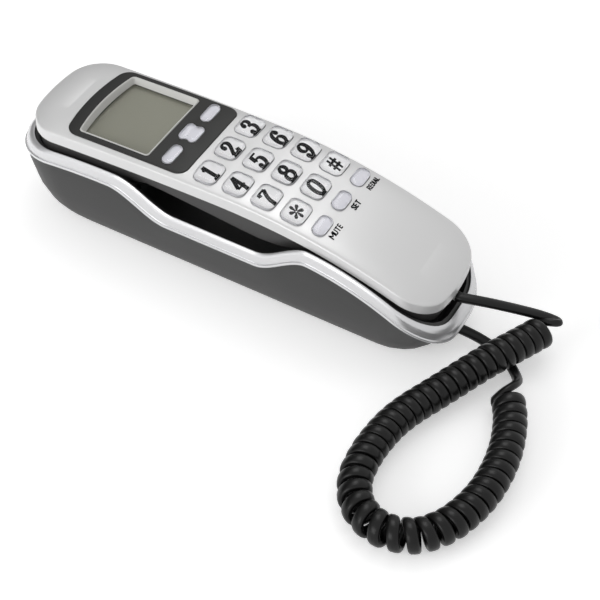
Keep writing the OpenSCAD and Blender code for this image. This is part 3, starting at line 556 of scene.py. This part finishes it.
# %% Surfaces of the handset
HANDSET_LEN, HANDSET_W, HANDSET_X, TOP_Z, WALL = 198.0, 52.6, 1.2, 56.0, 1.9
ARCH_R, FLAT_R, FACE_FALL, TAPER = 240.0, 1520.0, 0.8, 0.03
HANDSET_CORNER, HANDSET_BOW = 16.5, 95
# Rings deeper than BAND_TOP are raised by a share of their depth towards the cord end
BAND_TOP, BAND_CHANGE, CHANGE_X, CHANGE_RUN = 4, 0.06, 10, 35


def crown_z(x):
    x = np.asarray(x, float)
    return TOP_Z - x * x / (2 * np.where(x < 0, FLAT_R, ARCH_R))


def face_z(x, y):
    return crown_z(x) - FACE_FALL * (2 * np.asarray(y) / HANDSET_W) ** 2


def slope(x):
    return math.atan(x / (FLAT_R if x < 0 else ARCH_R))


def handset_outline(inset):
    p = outline(HANDSET_LEN / 2 - inset, HANDSET_W / 2 - inset, max(HANDSET_CORNER - inset, 1.5),
                HANDSET_BOW - inset, end_n=14, corner_n=18, side_n=44)
    return np.column_stack([p[:, 0] + HANDSET_X, p[:, 1] * (1 - TAPER * p[:, 0] / 100)])


def face_ring(inset, depth):
    p = handset_outline(inset)
    less = BAND_CHANGE * ease((p[:, 0] - CHANGE_X) / CHANGE_RUN) * (depth > BAND_TOP)
    return with_z(p, face_z(p[:, 0], p[:, 1]) - depth * (1 - less))


def on_face(x, y, lift=0.0):
    """The place and tilt of something that sits on the face."""
    here = Vector((x, y, float(face_z(x, y)))) * MM
    return Matrix.Translation(here) @ Matrix.Rotation(slope(x), 4, "Y") @ Matrix.Translation(
        (0, 0, lift * MM))


EDGE = 6.6
# Inset and depth of each ring, from the inside of the face round the edge to the outside
shell_section = [(14, WALL), (WALL + 1, WALL + 0.3), (WALL, WALL + 1.2), (WALL, EDGE), (0.25, EDGE),
                 (0, EDGE - 0.25), (0, 1.75), (0.05, 1.5), (0.22, 1.2), (0.5, 0.98), (0.9, 0.82),
                 (1.5, 0.66), (2.4, 0.48), (3.6, 0.29), (5.2, 0.13), (8, 0.03), (14, 0)]
top_shell = piece("handset_face", None, None, *skin([face_ring(*s) for s in shell_section]),
                  material=FINISH["silver"])
print("the upper shell has", len(top_shell.data.vertices), "points before its holes are cut")

# %% The layout of the keys
# Sizes are length, width and corner radius, as the phone lies
ROWS, COLS = (-9.0, 4.65, 18.3, 31.95), (-16.9, 0.0, 16.9)
LEGENDS = ("1", "2", "3", "4", "5", "6", "7", "8", "9", "*", "0", "#")
KEY_NODES = ["key_" + {"*": "star", "#": "hash"}.get(c, c) for c in LEGENDS]
DIGIT, FUNC, SIDE, MENU = (10.6, 12.8, 3.1), (6.2, 11.2, 2.9), (5.2, 12.0, 2.4), (8.6, 11.0, 2.6)
FUNC_X, NAV_X, NAV_PITCH, GAP = 44.1, -27.8, 15.5, 0.2
KEY_BOW, WAIST_LEN, WAIST_SIDE = 90, 1.7, 0.3
keys = [(node, ROWS[i // 3], COLS[i % 3], DIGIT) for i, node in enumerate(KEY_NODES)]
keys += [(node, FUNC_X, y, FUNC) for node, y in zip(("mute_key", "set_key", "redial_key"), COLS)]
side_keys = [("down_key", NAV_X, -NAV_PITCH, SIDE), ("menu_key", NAV_X, 0.0, MENU),
             ("up_key", NAV_X, NAV_PITCH, SIDE)]


def key_plan(size, inset=0.0):
    """The outline of a key. The middle display key has a waist."""
    l, w, r = size
    p = outline(l / 2 - inset, w / 2 - inset, max(r - inset, 0.4), KEY_BOW - inset, 6, 8, 6)
    if size == MENU:
        waist = np.exp(-(p[:, 0] / WAIST_LEN) ** 2) * (np.abs(p[:, 1]) > w * WAIST_SIDE)
        p[:, 1] -= np.sign(p[:, 1]) * waist
    return p


def cutter(place, plan, low=-14.0, high=8.0):
    """A prism over an outline, which cuts a hole."""
    verts, faces = skin([with_z(plan, low), with_z(plan, high)])
    mesh = bpy.data.meshes.new("cutter")
    mesh.from_pydata((verts * MM).tolist(), [], faces)
    mesh.transform(place)
    obj = bpy.data.objects.new("cutter", mesh)
    bpy.context.collection.objects.link(obj)
    return obj


print(len(keys) + len(side_keys), "keys")

# %% The plan of the display
PANEL_LEN, PANEL_W, PANEL_X, PROUD = 61.0, 48.2, -47.8, 0.3
WINDOW_X, WINDOW_L, WINDOW_W, BOW = -54.35, 36.7, 43.0, 110.0


def one_bow(half, width, corner, *counts):
    """An outline with a bowed earpiece end and a straight cord end."""
    p = outline(half, width, corner, BOW, *counts)
    p[:, 0] += np.maximum(p[:, 0], 0) / half * p[:, 1] ** 2 / (2 * BOW)
    return p


def panel_plan(inset):
    return one_bow(PANEL_LEN / 2 - inset, PANEL_W / 2 - inset, 6 - min(inset, 3), 8, 12, 16)


def window_plan(inset):
    return one_bow(WINDOW_L / 2 - inset, WINDOW_W / 2 - inset, max(2.0 - inset * 0.5, 0.8),
                   8, 8, 12)


def on_panel(x):
    return Matrix.Translation((x * MM, 0, float(crown_z(x)) * MM)) @ Matrix.Rotation(
        slope(PANEL_X), 4, "Y")


print("the panel is", PANEL_LEN, "by", PANEL_W, "mm")

# %% Cut the upper shell
def key_holes(places):
    return [cutter(on_face(x, y), key_plan(size, -GAP)) for _, x, y, size in places]


holes = key_holes(keys + side_keys)
holes.append(cutter(on_panel(PANEL_X), panel_plan(-0.1), low=-1.25))
holes.append(cutter(on_panel(WINDOW_X), window_plan(-0.15)))
cut(top_shell, holes)
dress(top_shell, "handset", "silver", 32, ["handset_top_shell"])
soften(top_shell, 0.3)
print("the upper shell has", len(top_shell.data.polygons), "faces with its holes")

# %% [markdown]
# ## The display
# A dark panel is let into the face, with a window whose frame slopes down to the display. A clear
# lens covers it. The lens and the display keep their solids, and the panel and the frame get soft
# edges.

# %% The panel
def panel_ring(inset, rise):
    p = panel_plan(inset)
    p[:, 0] += PANEL_X
    return with_z(p, face_z(p[:, 0], p[:, 1]) + rise)


panel = piece("panel_skin", None, None, *skin([panel_ring(*s) for s in (
    (0, -1.15), (0, 0.0), (0.08, 0.14), (0.24, 0.26), (0.5, PROUD), (12, PROUD))]),
    material=FINISH["panel"])
cut(panel, [cutter(on_panel(WINDOW_X), window_plan(-0.05)), *key_holes(side_keys)])
dress(panel, "handset", "panel", 32, ["display_panel"])
soften(panel, 0.2)
print("the panel has", len(panel.data.polygons), "faces")

# %% The window's frame
def window_ring(inset, z, follow=True):
    """A ring round the window, which bends with the face or else lies flat."""
    p = window_plan(inset)
    flat = crown_z(WINDOW_X) - p[:, 0] * math.tan(slope(PANEL_X)) + z
    p[:, 0] += WINDOW_X
    return with_z(p, face_z(p[:, 0], p[:, 1]) + z if follow else flat)


piece("window_frame", "handset", "frame_light", *skin([window_ring(*s) for s in (
    (0, -2.9, False), (0, 0.1), (0.1, 0.3), (0.3, 0.42), (0.5, 0.42), (0.7, 0.3), (0.95, -0.3),
    (1.9, -2.5, False), (2.0, -2.9, False))], "loop"), sharp=50, replaces=["display_frame"])
print("the window's frame slopes down to the display")

# %% [markdown]
# ## The keys
# Each key is a clear block over a pale plate, with a thin grey ring round the plate. The ring's
# grey is
# painted shade: it gives the dim band at the key's edge. The digits are printed on the plate, so
# that the print shows through the top and again, bent, at the edges.

# %% Caps
# Inset and height of each ring of a cap. A key shorter than FULL_CAP has smaller insets.
FULL_CAP = 8.2
CAP = [(0, -2.2), (0, 0.6), (0.1, 0.88), (0.35, 1.1), (0.75, 1.22), (1.4, 1.28), (2.3, 1.3)]
PLATE_TOP, PLATE_FOOT, PLATE_IN = -0.9, -2.0, 0.02
# Inset and height of each ring of the grey ring round the plate, whose grey is painted shade
RIM = [(0.06, -1.0), (0.06, 0.5), (0.1, 0.6), (0.16, 0.5), (0.2, -1.0)]


def placed(name, body, slot, shape, place, material=None, replaces=()):
    """A piece made at the origin and then set on the face."""
    obj = piece(name, None, None, *shape, material=material or FINISH[slot])
    obj.data.transform(place)
    return dress(obj, body, slot, 40, replaces, obj.data.materials[0])


for node, x, y, size in keys + side_keys:
    body, slot = node + "_body", "key_clear" if size == DIGIT else "key_grey"
    shrink = min(1, size[0] / FULL_CAP)
    dome = skin([with_z(key_plan(size, inset * shrink), z) for inset, z in CAP])
    block = skin([with_z(key_plan(size, PLATE_IN), z) for z in (PLATE_FOOT, PLATE_TOP)])
    placed(node + "_cap", body, slot, dome, on_face(x, y), replaces=[node])
    placed(node + "_plate", body, slot, block, on_face(x, y), PLATE if size == DIGIT else CORE)
    # A grey ring round the plate, whose colour paints the shade at the key's edge
    rim = skin([with_z(key_plan(size, inset), z) for inset, z in RIM], "loop")
    placed(node + "_rim", body, slot, rim, on_face(x, y), KEY_SHADE_RING)
print("caps and plates made")

# %% [markdown]
# ## Legends
# The digits are drawn as a broad pen would: a stroke is thick where it runs up or down and thin
# where it runs across. Each stroke is a line of a few points, a single point is a dot, and the
# pen's width turns either into a thin solid. The hash has an even pen, the star has petals, and the
# three words are drawn with a pen that is nearly even.

# %% Strokes of each character, in a box one unit high
STROKES = {
    "1": [[(-.2, .27), (-.08, .32), (.03, .46)], [(.03, .5), (.03, -.5)],
          [(-.19, -.47), (.25, -.47)]],
    "2": [[(-.2, .24)], [(-.25, .26), (-.16, .44), (.04, .48), (.2, .34), (.16, .12), (-.02, -.14),
          (-.24, -.42)], [(-.27, -.42), (.23, -.42)], [(.23, -.46), (.28, -.26)]],
    "3": [[(-.2, .28)], [(-.25, .3), (-.12, .46), (.06, .47), (.19, .34), (.15, .16), (-.04, .05)],
          [(-.06, .05), (.14, .02), (.25, -.16), (.18, -.4), (-.02, -.48), (-.24, -.36)],
          [(-.2, -.32)]],
    "4": [[(.1, .48), (-.29, -.2)], [(-.31, -.22), (.3, -.22)], [(.1, .5), (.1, -.5)]],
    "5": [[(-.14, .43), (.25, .43)], [(-.14, .46), (-.2, .02)], [(-.2, .02), (-.02, .12), (.2, .04),
          (.26, -.18), (.16, -.42), (-.06, -.48), (-.25, -.36)], [(-.2, -.32)]],
    "6": [[(.2, .3)], [(.24, .34), (.08, .47), (-.14, .32), (-.24, 0), (-.2, -.34), (0, -.48),
          (.2, -.36), (.23, -.14), (.06, .04), (-.14, -.02), (-.24, -.16)]],
    "7": [[(-.27, .24), (-.22, .44)], [(-.25, .42), (.26, .42)],
          [(.26, .42), (.06, .1), (-.05, -.2), (-.06, -.5)]],
    "8": [[(0, .04), (.17, .14), (.19, .34), (0, .48), (-.19, .34), (-.17, .14), (0, .04)],
          [(0, .04), (.23, -.08), (.25, -.34), (0, -.48), (-.25, -.34), (-.23, -.08), (0, .04)]],
    "0": [[(0, .48), (.2, .34), (.26, 0), (.2, -.34), (0, -.48), (-.2, -.34), (-.26, 0), (-.2, .34),
           (0, .48)]],
    "#": [[(-.14, -.44), (-.14, .44)], [(.14, -.44), (.14, .44)], [(-.34, .15), (.34, .15)],
          [(-.34, -.15), (.34, -.15)]],
    "A": [[(-.3, -.5), (0, .44)], [(0, .44), (.3, -.5)], [(-.18, -.18), (.18, -.18)]],
    "D": [[(-.22, -.5), (-.22, .5)], [(-.22, .41), (.05, .4), (.23, .18), (.23, -.18), (.05, -.4),
          (-.22, -.41)]],
    "E": [[(-.2, -.5), (-.2, .5)], *[[(-.2, y), (.22, y)] for y in (.41, 0, -.41)]],
    "I": [[(0, -.5), (0, .5)]],
    "L": [[(-.2, .5), (-.2, -.5)], [(-.2, -.41), (.24, -.41)]],
    "M": [[(-.44, -.5), (-.44, .5)], [(-.42, .4), (0, -.16)], [(0, -.16), (.42, .4)],
          [(.44, .5), (.44, -.5)]],
    "R": [[(-.22, -.5), (-.22, .5)], [(-.22, .41), (.06, .4), (.2, .22), (.06, .02), (-.22, 0)],
          [(0, 0), (.24, -.5)]],
    "S": [[(.24, .24), (.12, .4), (-.1, .41), (-.22, .24), (0, .02), (.22, -.22), (.1, -.41),
           (-.12, -.4), (-.24, -.24)]],
    "T": [[(-.32, .41), (.32, .41)], [(0, .41), (0, -.5)]],
    "U": [[(-.25, .5), (-.25, -.22), (-.12, -.4), (.12, -.4), (.25, -.22), (.25, .5)]],
}
STROKES["9"] = [[(-x, -y) for x, y in stroke] for stroke in STROKES["6"]]
STROKES["*"] = [[(0.44 * r * math.cos(a), 0.44 * r * math.sin(a)) for r in (0.1, 0.55, 1.0)]
                for a in (math.radians(60 * k + 30) for k in range(6))]
print(len(STROKES), "characters")

# %% A pen that draws them
SPACE, PRINT_THICK, DOT_R, HASH_PEN = 0.24, 0.1, 0.6, 0.55
PETAL_AT, PETAL_WIDE = (0, 0.3, 0.75, 1), (0.12, 0.24, 0.42, 0.22)


def drawn(text, height, thick, thin, slant):
    """Verts and faces of a text in the plane, centred; x runs along the text and y up."""
    verts, faces, x0 = [], [], 0.0
    for character in text:
        strokes = STROKES[character]
        spread = [x for stroke in strokes for x, _ in stroke]
        shift = x0 - min(spread)
        x0 = shift + max(spread) + SPACE
        for stroke in strokes:
            if len(stroke) == 1:
                turn = np.linspace(0, 2 * math.pi, 12, endpoint=False)
                circle = np.stack([np.cos(turn), np.sin(turn)], 1)
                rim = np.array(stroke[0]) + DOT_R * thick * circle
            else:
                points = np.array(stroke)
                steps = 1 if len(points) == 2 else 5 * (len(points) - 1)
                line = along(points, np.linspace(0, len(points) - 1, steps + 1))
                way = units(np.gradient(line, axis=0))
                pen = thin if character != "#" else HASH_PEN * thick
                wide = (pen + (thick - pen) * np.abs(way[:, 1:]) * (character != "#")) / 2
                if character == "*":
                    wide = np.interp(np.linspace(0, 1, len(line)), PETAL_AT,
                                     PETAL_WIDE)[:, None] * thick
                off = wide * np.stack([-way[:, 1], way[:, 0]], 1)
                rim = np.vstack([line + off, (line - off)[::-1]])
            rim = rim + [shift, 0]
            n, first = len(rim), len(verts)
            verts += [(x, y, z) for z in (0, PRINT_THICK / height) for x, y in rim]
            faces += [tuple(first + (i + 1) % n + k
                            for i, k in ((j, 0), (j - 1, 0), (j - 1, n), (j, n)))
                      for j in range(n)]
            if len(stroke) == 1:
                faces += [tuple(range(first + n - 1, first - 1, -1)),
                          tuple(range(first + n, first + 2 * n))]
            else:
                for i in range(n // 2 - 1):
                    low = (first + i, first + i + 1, first + n - 2 - i, first + n - 1 - i)
                    faces += [low, tuple(v + n for v in low[::-1])]
    verts = np.array(verts)
    verts[:, 0] += slant * verts[:, 1] - (x0 - SPACE) / 2
    return verts * height, faces


# How far the prints are sunk into the plates and into the face
PRINT_SUNK, WORD_SUNK = 0.03, 0.06
# Height of a digit, the pen's two widths as shares of it, and the slant. Words have heights of
# their own.
DIGIT_PEN, WORD_PEN, WORD_X = (8.2, 0.26, 0.11, 0.2), (0.21, 0.19, 0.1), 49.8


def legend(name, text, body, place, height, thick, thin, slant):
    """A generic digit or word, read from the cord end of the phone."""
    verts, faces = drawn(text, height, thick, thin, slant)
    turned = np.stack([-verts[:, 1], verts[:, 0], verts[:, 2]], 1)
    if body == "handset":
        turned[:, :2] += place
        turned[:, 2] += face_z(turned[:, 0], turned[:, 1]) - WORD_SUNK
        return piece(name, body, None, turned, faces, 30, material=PRINT)
    return placed(name, body, None, (turned, faces), place, PRINT)


for (node, x, y, _), text in zip(keys, LEGENDS):
    legend(node + "_print", text, node + "_body", on_face(x, y, PLATE_TOP - PRINT_SUNK), *DIGIT_PEN)
for text, y, height in (("MUTE", -15.8, 2.6), ("SET", 2.2, 2.6), ("REDIAL", 18.0, 2.4)):
    legend(text.lower() + "_word", text, "handset", (WORD_X, y), height, *WORD_PEN)
print("legends printed")

# %% [markdown]
# ## The pieces that keep their solids
# The rest needs no new shape. Their facets are welded and shaded smooth with a split at each
# sharp edge, so that the solids themselves stay as they are.

# %% Finish the solids
WELD_GAP, CREASE = 0.004 * MM, math.radians(30)
slot_of = {s["node"]: s["material_slot"] for s in frame["record"]["subparts"]}
kept = 0
for name, solid in frame["nodes"].items():
    solid.data.materials.clear()
    solid.data.materials.append(FINISH[slot_of[name]])
    if solid.hide_render:
        continue
    kept += 1
    weld = solid.modifiers.new("weld", "WELD")
    weld.merge_threshold = WELD_GAP
    solid.data.shade_smooth()
    split = solid.modifiers.new("split", "EDGE_SPLIT")
    split.split_angle = CREASE
print(kept, "solids keep their shape")
